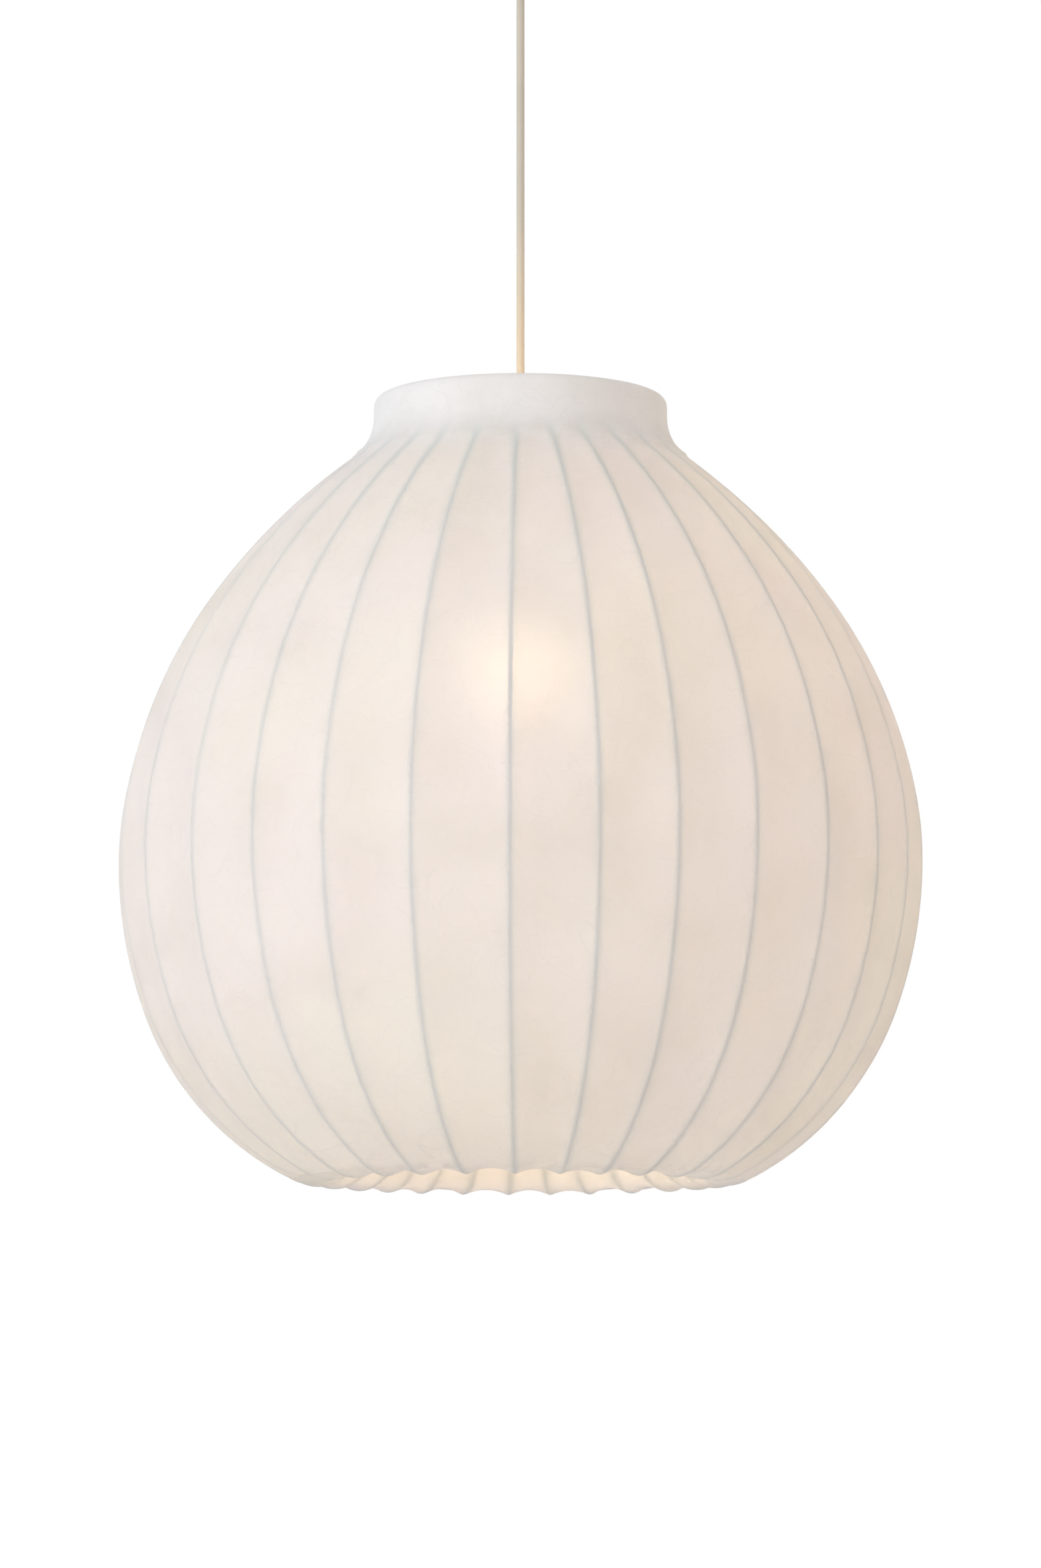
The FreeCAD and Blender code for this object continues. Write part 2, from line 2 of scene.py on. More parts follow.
# # A ribbed pendant lamp
#
# This is a hanging lamp: twenty-nine upright wires stand around an open belly, and a thin off-white film
# is sprayed over them and shrinks until it is tight. A bulb glows inside. The steel frame, the holder and the
# ceiling fitting come from the CAD frame, where every piece already has its place and its joint. Here each
# piece gets the shape and finish that the eye sees.
#
# Everything below is in metres with Z up, and the ceiling is at z = 0. The pieces are easier to think of in
# millimetres above the lowest point of the shade, so a small helper turns such a "level" into a height.

# %% The frame
import math
import bpy
import numpy as np
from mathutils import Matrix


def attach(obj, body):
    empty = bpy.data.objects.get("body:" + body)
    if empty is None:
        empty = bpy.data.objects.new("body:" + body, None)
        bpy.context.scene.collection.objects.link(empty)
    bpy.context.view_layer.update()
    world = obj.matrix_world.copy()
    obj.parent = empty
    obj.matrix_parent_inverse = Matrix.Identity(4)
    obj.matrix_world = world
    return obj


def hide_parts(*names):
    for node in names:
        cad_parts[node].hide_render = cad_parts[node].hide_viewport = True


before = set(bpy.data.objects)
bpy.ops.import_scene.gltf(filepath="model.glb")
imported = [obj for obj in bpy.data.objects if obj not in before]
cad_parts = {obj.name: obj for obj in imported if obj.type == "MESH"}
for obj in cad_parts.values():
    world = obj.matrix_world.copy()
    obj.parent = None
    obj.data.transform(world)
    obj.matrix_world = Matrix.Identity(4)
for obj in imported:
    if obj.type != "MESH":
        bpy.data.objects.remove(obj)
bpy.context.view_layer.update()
MM = 0.001
DROP = 817.0


def height(level):
    """Metres below the ceiling for a level in millimetres above the shade's lowest point."""
    return (level - DROP) * MM


# %% [markdown]
# ## The camera
#
# The lamp hangs above eye level, and the viewer stands well back, so the mouth shows as a thin bright curve
# and the collar as a plain cylinder. A long lens from 3.7 m keeps the outline almost undistorted. The
# lens could be moved with a shift instead of a tilt, but a real viewer looks up, so the camera is tilted.

# %% Camera
VIEWER_BACK, VIEWER_LEVEL, LOOK_UP, LONG_LENS = 3.708, -190.2, 6.745, 138.19
lens = bpy.data.cameras.new("viewer")
lens.sensor_fit = "VERTICAL"
lens.sensor_height = 36.0
lens.lens = LONG_LENS
viewer = bpy.data.objects.new("viewer", lens)
viewer.location = (0.0, -VIEWER_BACK, height(VIEWER_LEVEL))
viewer.rotation_euler = (math.radians(90 + LOOK_UP), 0.0, 0.0)
bpy.context.collection.objects.link(viewer)
bpy.context.scene.camera = viewer
print("lens", round(lens.lens, 1), "mm, looking up", LOOK_UP, "degrees")

# %% [markdown]
# ## The cable
#
# The lamp hangs on one round cable, held taut by its own weight. It leaves the grip on the lamp holder and
# goes into the gland of the ceiling fitting. A cable is best made as a curve with a round section: the path
# stays easy to change and the thickness is one number. It is drawn straight, because nothing bends it.

# %% Cable
CABLE_RADIUS, CABLE_LOW, CABLE_HIGH, GRIP_TOP, END_RUN = 2.5, 425.0, 764.0, 445.1, 35.0


def cable_curve(name, low, high):
    """A round run between two levels: a smooth curve through four points, thickened by its bevel.

    The points' own radius carries the thickness, so that the curve's box is no wider than the cable."""
    path = bpy.data.curves.new(name, "CURVE")
    path.dimensions = "3D"
    path.bevel_depth = 1.0
    path.bevel_resolution = 6
    path.resolution_u = 8
    path.use_fill_caps = True
    line = path.splines.new("NURBS")
    line.points.add(3)
    ease = min(END_RUN, (high - low) / 3)
    for point, level in zip(line.points, (low, low + ease, high - ease, high)):
        point.co = (0.0, 0.0, height(level), 1.0)
        point.radius = CABLE_RADIUS * MM
    line.order_u = 3
    line.use_endpoint_u = True
    made = bpy.data.objects.new(name, path)
    bpy.context.collection.objects.link(made)
    return made


cable = cable_curve("hanging_cable", CABLE_LOW, CABLE_HIGH)
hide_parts("cable")
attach(cable, "drop")
print("cable", CABLE_HIGH - CABLE_LOW, "mm long")

# %% [markdown]
# ## Helpers for surfaces
#
# Nearly every piece of a lamp is round, so it could be a stack of primitives. A surface worked out on a grid
# is better: one function gives all the points at once, edges can be rounded exactly as the press or the
# mould rounds them, and threads or flutes are only a small change of radius.

# %% Mesh helpers


def mesh_object(name, points, faces, sharp=35.0):
    """An object from an array of points in metres and an array of four-cornered faces."""
    mesh = bpy.data.meshes.new(name)
    mesh.vertices.add(len(points))
    mesh.vertices.foreach_set("co", np.ascontiguousarray(points, dtype=np.float32).ravel())
    mesh.loops.add(faces.size)
    mesh.loops.foreach_set("vertex_index", faces.astype(np.int32).ravel())
    mesh.polygons.add(len(faces))
    mesh.polygons.foreach_set("loop_start", np.arange(0, faces.size, 4, dtype=np.int32))
    mesh.update(calc_edges=True)
    mesh.validate()
    mesh.shade_smooth()
    mesh.set_sharp_from_angle(angle=math.radians(sharp))
    made = bpy.data.objects.new(name, mesh)
    bpy.context.collection.objects.link(made)
    return made


def grid_faces(rows, columns, first=0):
    """Faces of a grid whose columns close into a ring; each turns left as rows go up, so it faces out."""
    row, column = np.meshgrid(np.arange(rows - 1), np.arange(columns), indexing="ij")
    here, beside = first + row * columns + column, first + row * columns + (column + 1) % columns
    return np.stack([here, beside, beside + columns, here + columns], -1).reshape(-1, 4)


def rounded(outline, bend, steps=4):
    """A closed outline with each corner replaced by an arc: its bend, cut down where an edge is short."""
    spots = np.array(outline, dtype=float)
    before, after = np.roll(spots, 1, 0) - spots, np.roll(spots, -1, 0) - spots
    long_before, long_after = (np.linalg.norm(side, axis=1) for side in (before, after))
    before, after = before / long_before[:, None], after / long_after[:, None]
    half = 0.5 * np.arccos(np.clip((before * after).sum(1), -1.0, 1.0))
    reach = np.minimum(bend / np.tan(half), 0.45 * np.minimum(long_before, long_after))
    start, end = spots + before * reach[:, None], spots + after * reach[:, None]
    share = np.linspace(0, 1, steps + 1)[None, :, None]
    curve = (1 - share) ** 2 * start[:, None] + 2 * share * (1 - share) * spots[:, None]
    curve = curve + share ** 2 * end[:, None]
    return curve.reshape(-1, 2)


def lathe(name, outline, columns=96, change=None):
    """Turns a closed outline of (radius, level) about the hanging axis.

    x = radius cos a, y = radius sin a, and change(a, radius, level) may move each radius, for threads."""
    spots = np.array(outline, dtype=float)
    nxt = np.roll(spots, -1, 0)
    if (spots[:, 0] * nxt[:, 1] - nxt[:, 0] * spots[:, 1]).sum() < 0:
        spots = spots[::-1]
    angle = np.linspace(0, 2 * math.pi, columns, endpoint=False)[None, :]
    radius, level = np.repeat(spots[:, :1], columns, 1), np.repeat(spots[:, 1:], columns, 1)
    if change is not None:
        radius = radius + change(angle, radius, level)
    points = np.stack([radius * np.cos(angle), radius * np.sin(angle), level - DROP], -1) * MM
    faces = grid_faces(len(spots) + 1, columns) % (len(spots) * columns)
    return mesh_object(name, points.reshape(-1, 3), faces)


def place(made, body, slot, *nodes):
    """The piece rides on a body and stands for CAD nodes, which it hides; its slot is not used."""
    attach(made, body)
    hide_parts(*nodes)
    print(made.name, "for", ", ".join(nodes), "faces", len(made.data.polygons))
    return made


print("helpers ready")

# %% [markdown]
# ## The outline of the shade
#
# The shade's outline is a chain of arcs that pass smoothly into each other, starting upright on the widest
# circle. Going up it leans in, then the neck bends it back upright into the collar. Going down it turns
# under and rolls into the mouth. The same chain is in the CAD frame, so the two agree. At every point the
# chain also gives the direction that faces away from the film and how strongly the outline bends there.

# %% Outline
WIDEST = (249.0, 200.0)
CLIMB = ((208.0, 9.4, 1), (303.0, 25.8, 1), (401.0, 18.2, 1), (36.5, 53.4, -1))
FALL = ((277.0, 20.0, 1), (184.0, 44.0, 1), (28.0, 116.0, 1))
COLLAR_RISE, CROWN_BEND, HEM, LIP_EDGE = 5.8, 6.0, 10.0, 5.0


def arc_chain(bends, way, steps):
    """Rows of radius, level, outward direction and bend along tangent arcs from the widest circle.

    Each point is its arc's centre plus the bend radius times (cos lean, sin lean)."""
    (radius, level), lean, rows = WIDEST, 0.0, []
    for (bend, turn, side), count in zip(bends, steps):
        leans = lean + side * math.radians(turn) * np.linspace(0, 1, count + 1)
        reach = side * bend
        middle = (radius - reach * math.cos(lean), level - way * reach * math.sin(lean))
        rows.append(np.column_stack([
            middle[0] + reach * np.cos(leans), middle[1] + way * reach * np.sin(leans),
            np.cos(leans), way * np.sin(leans), np.full(count + 1, side / bend)])[1:])
        radius, level, lean = rows[-1][-1, 0], rows[-1][-1, 1], leans[-1]
    return np.vstack(rows)


def upright_run(start, rise, outward, count):
    """Rows of a plain upright strip that starts at a radius and level."""
    share = np.linspace(0, 1, count + 1)[1:]
    flat = np.zeros(count)
    return np.column_stack([flat + start[0], start[1] + rise * share, flat + outward, flat, flat])


climb, fall = arc_chain(CLIMB, 1, (5, 17, 16, 14)), arc_chain(FALL, -1, (12, 20, 26))
widest_row = np.array([[*WIDEST, 1.0, 0.0, 1 / CLIMB[0][0]]])
lip_edge = upright_run(fall[-1], LIP_EDGE, -1.0, 2)[::-1]
collar = upright_run(climb[-1], COLLAR_RISE, 1.0, 2)
crown_turn = np.linspace(0, math.pi, 11)[1:]
crown = np.column_stack([
    collar[-1, 0] - CROWN_BEND + CROWN_BEND * np.cos(crown_turn),
    collar[-1, 1] + CROWN_BEND * np.sin(crown_turn),
    np.cos(crown_turn), np.sin(crown_turn), np.full(len(crown_turn), 1 / CROWN_BEND)])
hem = upright_run(crown[-1], -HEM, -1.0, 3)
outline = np.vstack([lip_edge, fall[::-1], widest_row, climb, collar, crown, hem])
print("outline rows", len(outline), "collar radius", round(collar[-1, 0], 2),
      "top", round(crown[:, 1].max(), 2))

# %% [markdown]
# ## The film
#
# The film is the heart of the lamp. As it dries it pulls tight like a soap film, so between two wires it
# hangs inwards: deeper where the wires are far apart or the shade is strongly bent, hardly at all on the
# collar. A cloth simulation could find this, but the shape is known: a tight film's sag is its width
# squared, over eight, times the two bends of the surface added together. Over each wire it stays round,
# the shoulder is a little slacker than the belly, and the lip is rolled smooth.
# The film gets a real thickness of 0.6 mm, so that light scatters in it twice, once on each face.

# %% Ribs' places
RIB_COUNT, RIB_FRONT, RIB_STRAY = 29, -92.78, 0.74
STRAY_WAVES = ((2, 0.18), (7, -0.63))
part_turn = 2 * math.pi * np.arange(RIB_COUNT + 1) / RIB_COUNT
stray = sum(np.cos(waves * part_turn + phase) for waves, phase in STRAY_WAVES)
rib_angle = np.radians(RIB_FRONT + RIB_STRAY * stray) + part_turn
print("rib gaps", round(np.degrees(np.diff(rib_angle)).min(), 1), "to",
      round(np.degrees(np.diff(rib_angle)).max(), 1), "degrees")

# %% Film mesh
FILM = 0.6
ACROSS = np.array([0.0, 0.018, 0.06, 0.14, 0.27, 0.42, 0.58, 0.73, 0.86, 0.94, 0.982])
WIRE_WRAP, LIP_TOP = 0.9, 60.0
SHOULDER_SLACK, SHOULDER = 0.6, (280.0, 400.0)
PANEL_VARIES, PANEL_STEP = 0.10, 3.7
COLLAR_FLAT, LIP_FLAT, LIP_THIN_AND_GLOW = (440.0, 466.0), (0.8, 0.99), (0.0, 0.85)


def smooth_step(value, low, high):
    """0 below low, 1 above high, and an even s-shaped passage between them."""
    share = np.clip((value - low) / (high - low), 0.0, 1.0)
    return share * share * (3 - 2 * share)


def film_grid(rows):
    """Angle, sag and distance to the nearest wire for every row and column of the film.

    sag = width squared / 8 * (bend around + bend along), times 4 u (1 - u) across the panel."""
    turn = np.diff(rib_angle)
    angle = (rib_angle[:-1, None] + turn[:, None] * ACROSS[None, :]).ravel()
    radius, level, out_r, bend = (rows[:, i][:, None] for i in (0, 1, 2, 4))
    width = radius * np.repeat(turn, len(ACROSS))[None, :]
    across = np.tile(ACROSS, RIB_COUNT)[None, :]
    panel = np.repeat(np.arange(RIB_COUNT), len(ACROSS))
    slack = 1 + PANEL_VARIES * np.sin(PANEL_STEP * panel)[None, :]
    slack = slack * (1 + SHOULDER_SLACK * smooth_step(level, *SHOULDER))
    deep = width ** 2 / 8 * (out_r / radius + bend) * slack
    deep = deep * (1 - smooth_step(level, *COLLAR_FLAT)) * (1 - smooth_step(-out_r, *LIP_FLAT))
    near = np.minimum(across, 1 - across) * width
    curve = 4 * across * (1 - across)
    soft = np.sqrt(near ** 2 + WIRE_WRAP ** 2) - WIRE_WRAP
    return angle, deep * curve * soft / np.maximum(near, 1e-6), near


def film_shell(name):
    """A closed shell: the outer face, the inner face 0.6 mm behind it, and their two rims joined.

    Each point also keeps its distance to the nearest wire and how far it is into the thin lip."""
    angle, sag, near = film_grid(outline)
    columns, rows = len(angle), len(outline)
    sides = []
    for depth in (0.0, FILM):
        radius = outline[:, 0][:, None] - (sag + depth) * outline[:, 2][:, None]
        level = outline[:, 1][:, None] - (sag + depth) * outline[:, 3][:, None]
        sides.append(np.stack([radius * np.cos(angle), radius * np.sin(angle), level - DROP], -1) * MM)
    outer, inner = grid_faces(rows, columns), grid_faces(rows, columns, rows * columns)[:, ::-1]
    ring = np.arange(columns)
    beside = (ring + 1) % columns
    total = rows * columns
    low = np.column_stack([ring, ring + total, beside + total, beside])
    high = np.column_stack([ring, beside, beside + total, ring + total]) + (rows - 1) * columns
    points = np.vstack([side.reshape(-1, 3) for side in sides])
    made = mesh_object(name, points, np.vstack([outer, inner, low, high]), 50.0)
    near = np.tile(np.broadcast_to(near, (rows, columns)).ravel(), 2)
    lip = smooth_step(-outline[:, 2], *LIP_THIN_AND_GLOW) * (outline[:, 1] < LIP_TOP)
    lip = np.tile(np.repeat(lip, columns), 2)
    for title, spread in (("from_rib", near), ("thin_lip", lip)):
        made.data.attributes.new(title, "FLOAT", "POINT").data.foreach_set("value", spread.astype(np.float32))
    return made


film = place(film_shell("sprayed_film"), "lamp", "spun_film", "shade_skin")

# %% [markdown]
# ## Finishes
#
# A finish is a tree of nodes. Patterns could be painted on a map, but a procedural pattern has no seams and
# no size limit, so each finish mixes noise at the scale of the real surface into its colour, roughness and
# bump. All patterns read Object coordinates, so that they stay put when the lamp swings.

# %% Node helpers


def new_finish(name):
    """A material with an empty tree, and a function that adds a node with its settings and inputs."""
    made = bpy.data.materials.new(name)
    made.use_nodes = True
    tree = made.node_tree
    tree.nodes.clear()

    def add(kind, settings=None, **inputs):
        node = tree.nodes.new("ShaderNode" + kind)
        for key, value in (settings or {}).items():
            setattr(node, key, value)
        for key, value in inputs.items():
            socket = node.inputs[int(key[1:])] if key[0] == "i" and key[1:].isdigit() else \
                node.inputs[key.replace("_", " ")]
            if isinstance(value, bpy.types.NodeSocket):
                tree.links.new(value, socket)
            else:
                socket.default_value = value
        return node

    return made, add


def ramp(add, value, *stops):
    """A colour ramp: pairs of a position and an (r, g, b) colour or one grey value."""
    node = add("ValToRGB", Fac=value)
    cells = node.color_ramp.elements
    while len(cells) < len(stops):
        cells.new(1.0)
    for cell, (spot, colour) in zip(cells, stops):
        cell.position = spot
        cell.color = (*colour, 1.0) if isinstance(colour, tuple) else (colour, colour, colour, 1.0)
    return node.outputs["Color"]


def coat(name, light, dark, rough, metal, grain, fine, bump):
    """A general finish: cloudy colour between two tones, uneven gloss and a fine bump.

    grain and fine are the scales of the clouds and of the specks: larger numbers make smaller patterns."""
    made, add = new_finish(name)
    spot = add("TexCoord").outputs["Object"]
    cloud = add("TexNoise", Vector=spot, Scale=grain, Detail=4.0, Roughness=0.6).outputs["Fac"]
    speck = add("TexNoise", Vector=spot, Scale=fine, Detail=3.0, Roughness=0.7).outputs["Fac"]
    colour = ramp(add, cloud, (0.3, dark), (0.7, light))
    gloss = add("MapRange", Value=speck, From_Min=0.3, From_Max=0.7, To_Min=rough[0], To_Max=rough[1])
    relief = add("Bump", Strength=bump, Distance=0.0004, Height=speck)
    shader = add("BsdfPrincipled", Base_Color=colour, Metallic=metal, Roughness=gloss.outputs[0],
                 Normal=relief.outputs[0])
    add("OutputMaterial", Surface=shader.outputs[0])
    return made


def dress(finish, *things):
    """Puts one finish on objects or CAD nodes."""
    for thing in things:
        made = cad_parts[thing] if isinstance(thing, str) else thing
        made.data.materials.clear()
        made.data.materials.append(finish)


print("node helpers ready")

# %% [markdown]
# ## The film's finish
#
# The film is a web of fine sprayed threads: matt, off-white, and bright wherever light stands behind it. A
# glossy plastic would look wrong, and so would plain paper. Half of what meets it is scattered back and half
# passes through, so a matt shader is mixed with a Translucent one, and a little rough glass lets the bulb
# show as a soft warm patch. Along each wire the film is painted greyer and greener, with soft wavering edges:
# this is painted shade for the wire's shadow in the lit film. On the collar a steel band stands behind it, so
# the wires don't show there. Large faint clouds, one yellowish and one pinkish, vary the panels, and a few
# curved threads stand out of the web. The lip at the mouth is thin and lit from inside, and a weak warm
# emission on it is painted light for the bulb's light passing through it.

# %% Film finish


def spun_lines(add, spot, scale, width):
    """Fine curved threads: 1 where a noise passes its middle value, falling to 0 a little to each side."""
    field = add("TexNoise", Vector=spot, Scale=scale, Detail=1.5, Distortion=0.8).outputs["Fac"]
    away = add("Math", {"operation": "SUBTRACT"}, i0=field, i1=0.5).outputs[0]
    away = add("Math", {"operation": "ABSOLUTE"}, i0=away).outputs[0]
    return add("MapRange", Value=away, From_Min=0.0, From_Max=width, To_Min=1.0, To_Max=0.0).outputs[0]


LINE_CORE, LINE_EDGE, EDGE_STRAY = 0.7, 5.0, 0.45
LINE_ENDS, LINE_DEEPENS, CLEAR_ENDS = (450, 464), (330, 430), (430, 474)
# Painted shade: the film's colour and its passed light along the wires stand in for the wires' shadow.
RIB_SHADE_TONE, RIB_SHADE_PASSED = (0.888, 0.91, 0.892, 1.0), (0.932, 0.935, 0.93, 1.0)
THREAD_TONE, WEB_CLEAR = (0.90, 0.89, 0.875, 1.0), (0.99, 0.98, 0.995, 1.0)


def film_finish():
    """Matt and translucent shaders mixed, with painted-shade lines on the wires, faint threads and a lip with
    painted glow.
    """
    made, add = new_finish("sprayed_film")
    spot = add("TexCoord").outputs["Object"]
    near = add("Attribute", {"attribute_name": "from_rib"}).outputs["Fac"]
    lip = add("Attribute", {"attribute_name": "thin_lip"}).outputs["Fac"]
    level = add("SeparateXYZ", Vector=spot).outputs["Z"]

    def passage(value, ends, low, high):
        """A smooth change from low to high while the value runs between two ends."""
        return add("MapRange", {"interpolation_type": "SMOOTHSTEP"}, Value=value, From_Min=ends[0],
                   From_Max=ends[1], To_Min=low, To_Max=high).outputs[0]

    def product(one, other):
        """Two values multiplied."""
        return add("Math", {"operation": "MULTIPLY"}, i0=one, i1=other).outputs[0]

    def stained(colour, stain):
        """A colour multiplied by another."""
        settings = {"data_type": "RGBA", "blend_type": "MULTIPLY"}
        return add("Mix", settings, i0=1.0, i6=colour, i7=stain).outputs[2]

    def blend(share, one, other):
        """A colour that goes from one to the other with the share."""
        return add("Mix", {"data_type": "RGBA"}, i0=share, i6=one, i7=other).outputs[2]

    # The painted shade lines on the wires: wavering edges, and an end where the collar's band begins.
    waver = add("TexNoise", Vector=spot, Scale=45.0, Detail=3.0).outputs["Fac"]
    edge = add("MapRange", Value=waver, From_Min=0.3, From_Max=0.7, To_Min=-EDGE_STRAY, To_Max=EDGE_STRAY)
    line = add("Math", {"operation": "ADD"}, i0=near, i1=edge.outputs[0]).outputs[0]
    line = passage(line, (LINE_CORE, LINE_EDGE), 1.0, 0.0)
    line = product(line, passage(level, [height(end) for end in LINE_ENDS], 1.0, 0.08))
    # The web: small clouds, large tints and threads, which also stand out in the bump.
    cloud = add("TexNoise", Vector=spot, Scale=18.0, Detail=6.0, Roughness=0.6).outputs["Fac"]
    tone = ramp(add, cloud, (0.36, (0.925, 0.91, 0.905)), (0.5, (0.970, 0.957, 0.962)),
                (0.64, (0.985, 0.98, 0.985)))
    patch = add("TexNoise", Vector=spot, Scale=5.0, Detail=2.0).outputs["Fac"]
    tint = ramp(add, patch, (0.4, (0.994, 0.990, 0.958)), (0.6, (0.999, 0.986, 0.984)))
    tone = stained(tone, tint)
    long_threads, short_threads = spun_lines(add, spot, 16.0, 0.010), spun_lines(add, spot, 46.0, 0.016)
    threads = add("Math", {"operation": "MAXIMUM"}, i0=long_threads, i1=short_threads).outputs[0]
    fine = add("TexNoise", Vector=spot, Scale=700.0, Detail=2.0).outputs["Fac"]
    relief = add("Math", {"operation": "MULTIPLY_ADD"}, i0=threads, i1=1.3, i2=fine).outputs[0]
    bump = add("Bump", Strength=0.16, Distance=0.0005, Height=relief).outputs[0]
    tone = blend(product(threads, 0.4), tone, THREAD_TONE)
    # The painted shade lines are faint on the belly seen from outside and deepen towards the shoulder.
    rise = add("MapRange", Value=level, From_Min=height(LINE_DEEPENS[0]), From_Max=height(LINE_DEEPENS[1]),
               To_Min=0.2, To_Max=1.0).outputs[0]
    colour = blend(product(line, rise), tone, RIB_SHADE_TONE)
    passed = blend(line, stained(tint, WEB_CLEAR), RIB_SHADE_PASSED)
    # Painted light: the lip's warm emission stands in for the bulb's light passing through the thin lip.
    lip_painted_glow = add("MapRange", Value=line, From_Min=0.0, From_Max=1.0, To_Min=0.27, To_Max=0.15).outputs[0]
    front = add("BsdfPrincipled", Base_Color=colour, Roughness=0.62, Normal=bump,
                Emission_Color=(1.0, 0.77, 0.42, 1.0), Emission_Strength=product(lip, lip_painted_glow))
    front.inputs["Specular IOR Level"].default_value = 0.3
    back = add("BsdfTranslucent", Color=passed, Normal=bump)
    haze = add("BsdfRefraction", {"distribution": "GGX"}, Color=passed, Roughness=0.36, IOR=1.4, Normal=bump)
    through = add("MixShader", i0=0.42, i1=back.outputs[0], i2=haze.outputs[0])
    # Less light passes where the band stands behind the collar, and a little more through the lip.
    share = passage(level, [height(end) for end in CLEAR_ENDS], 0.38, 0.08)
    share = add("Math", {"operation": "MULTIPLY_ADD"}, i0=lip, i1=0.08, i2=share).outputs[0]
    both = add("MixShader", i0=share, i1=front.outputs[0], i2=through.outputs[0])
    add("OutputMaterial", Surface=both.outputs[0])
    return made


dress(film_finish(), film)
print("film finished")

# %% [markdown]
# ## The frame of the shade
#
# Under the film stand the wires, welded to a ring at the mouth and to a steel band in the collar, and a
# spider holds the lamp holder. These are bent and rolled steel, which the CAD frame already has exactly
# right, so they keep their CAD meshes. They only need their powder coat: an off-white with a slight orange
# peel and a faintly cloudy tone.

# %% Steel parts
RIBS = [f"rib_{number + 1:02d}" for number in range(RIB_COUNT)]
powder = coat("powder coat", (0.90, 0.89, 0.87), (0.84, 0.83, 0.80), (0.42, 0.58), 0.0, 35.0, 420.0, 0.12)
dress(powder, *RIBS, "collar_band", "bottom_ring", "spider", "ceiling_bar")
print("steel dressed:", len(RIBS), "ribs, band, ring, spider, bar")

# %% [markdown]
# ## The lamp holder
#
# The holder is a thermoset socket for a 27 mm screw bulb: a threaded sleeve with a shoulder, a domed cap and
# a ring that clamps the spider from below. All of it is turned from rounded outlines. The thread on the
# sleeve and the finger flutes on the ring are cut by changing the radius with the angle and the level.

# %% Holder sleeve and ring
THREAD_PITCH, THREAD_DEPTH = 2.5, 0.75
SHOULDER_LEVEL = 390.05


def screw_thread(angle, radius, level, pitch, depth, edge, low, high):
    """A helical groove: the radius falls by depth where the level, less the lead so far, is mid-pitch.

    It fades near the low and high ends and touches only points outside the edge radius."""
    turn = (level / pitch - angle / (2 * math.pi)) % 1.0
    groove = 0.5 - 0.5 * np.cos(2 * math.pi * turn)
    fade = smooth_step(level, low, low + pitch) * (1 - smooth_step(level, high - pitch, high))
    return -depth * groove * fade * (radius > edge)


def rows_between(radius, low, high, count):
    """Extra outline points up a straight wall, so that a thread has rows to bend."""
    return [(radius, level) for level in np.linspace(low, high, count)]


sleeve_outline = [(17.2, 362.0), *rows_between(19.8, 362.0, 389.6, 70), (19.8, SHOULDER_LEVEL),
                  (23.0, SHOULDER_LEVEL), (23.0, 394.05), (19.8, 394.05), (19.8, 410.0), (17.2, 410.0)]
sleeve = place(lathe(
    "holder_sleeve", rounded(sleeve_outline, 0.4, 2), 96,
    lambda a, r, z: screw_thread(a, r, z, THREAD_PITCH, THREAD_DEPTH, 18.5, 362.4, 389.4),
), "lamp", "white_bakelite", "holder_body")


def flutes(angle, radius, level):
    """Finger flutes: the outer radius falls in 24 even hollows, faded at the top and bottom edges."""
    hollow = (0.5 + 0.5 * np.cos(24 * angle)) ** 2
    fade = smooth_step(level, 379.6, 381.2) * (1 - smooth_step(level, 385.6, 387.2))
    return -1.1 * hollow * fade * (radius > 25.5)


ring_outline = [(19.9, 378.9), (26.2, 378.9), *rows_between(27.0, 379.7, 387.1, 14), (26.2, 387.9),
                (19.9, 387.9)]
ring = place(lathe("clamping_ring", rounded(ring_outline, 0.4, 2), 192, flutes),
             "retaining_ring", "white_bakelite", "shade_ring")

# %% Holder cap, grip and inside
cap_outline = [(19.0, 410.05), (20.6, 410.05), (20.6, 416.0), (19.2, 420.6), (15.6, 424.8), (11.6, 427.6),
               (10.0, 429.05), (5.1, 429.05), (5.1, 427.4), (9.6, 426.6), (14.6, 423.2), (17.8, 419.4),
               (19.0, 415.4)]
cap = place(lathe("holder_cap", rounded(cap_outline, 2.0, 5), 128), "lamp", "white_bakelite", "holder_cap")
grip_outline = [(5.1, 429.1), (7.0, 429.1), *rows_between(7.0, 430.0, 440.4, 30), (7.0, 441.1),
                (5.6, 445.1), (2.6, 445.1), (2.6, 439.1), (5.1, 439.1)]
grip = place(lathe(
    "cord_grip", rounded(grip_outline, 0.5, 2), 96,
    lambda a, r, z: -0.35 * (0.5 + 0.5 * np.cos(18 * a)) * (r > 6.5) * smooth_step(z, 429.9, 431.0)
    * (1 - smooth_step(z, 437.4, 438.6)),
), "lamp", "white_nylon", "cord_grip")
bakelite = coat("white thermoset", (0.84, 0.82, 0.77), (0.79, 0.77, 0.72), (0.22, 0.34), 0.0, 25.0, 700.0,
                0.04)
nylon = coat("white nylon", (0.80, 0.79, 0.75), (0.74, 0.73, 0.69), (0.48, 0.60), 0.0, 40.0, 800.0, 0.08)
zinc = coat("zinc plate", (0.70, 0.70, 0.69), (0.55, 0.55, 0.56), (0.24, 0.42), 1.0, 90.0, 1500.0, 0.06)
brass = coat("drawn brass", (0.83, 0.65, 0.36), (0.68, 0.50, 0.26), (0.22, 0.36), 1.0, 80.0, 1300.0, 0.05)
dress(bakelite, sleeve, ring, cap, "contact_insert")
dress(nylon, grip, "terminal_block")
dress(zinc, "grip_screw", "threaded_nipple")
dress(brass, "screw_shell", "centre_contact", "terminal_screws")
print("holder dressed")

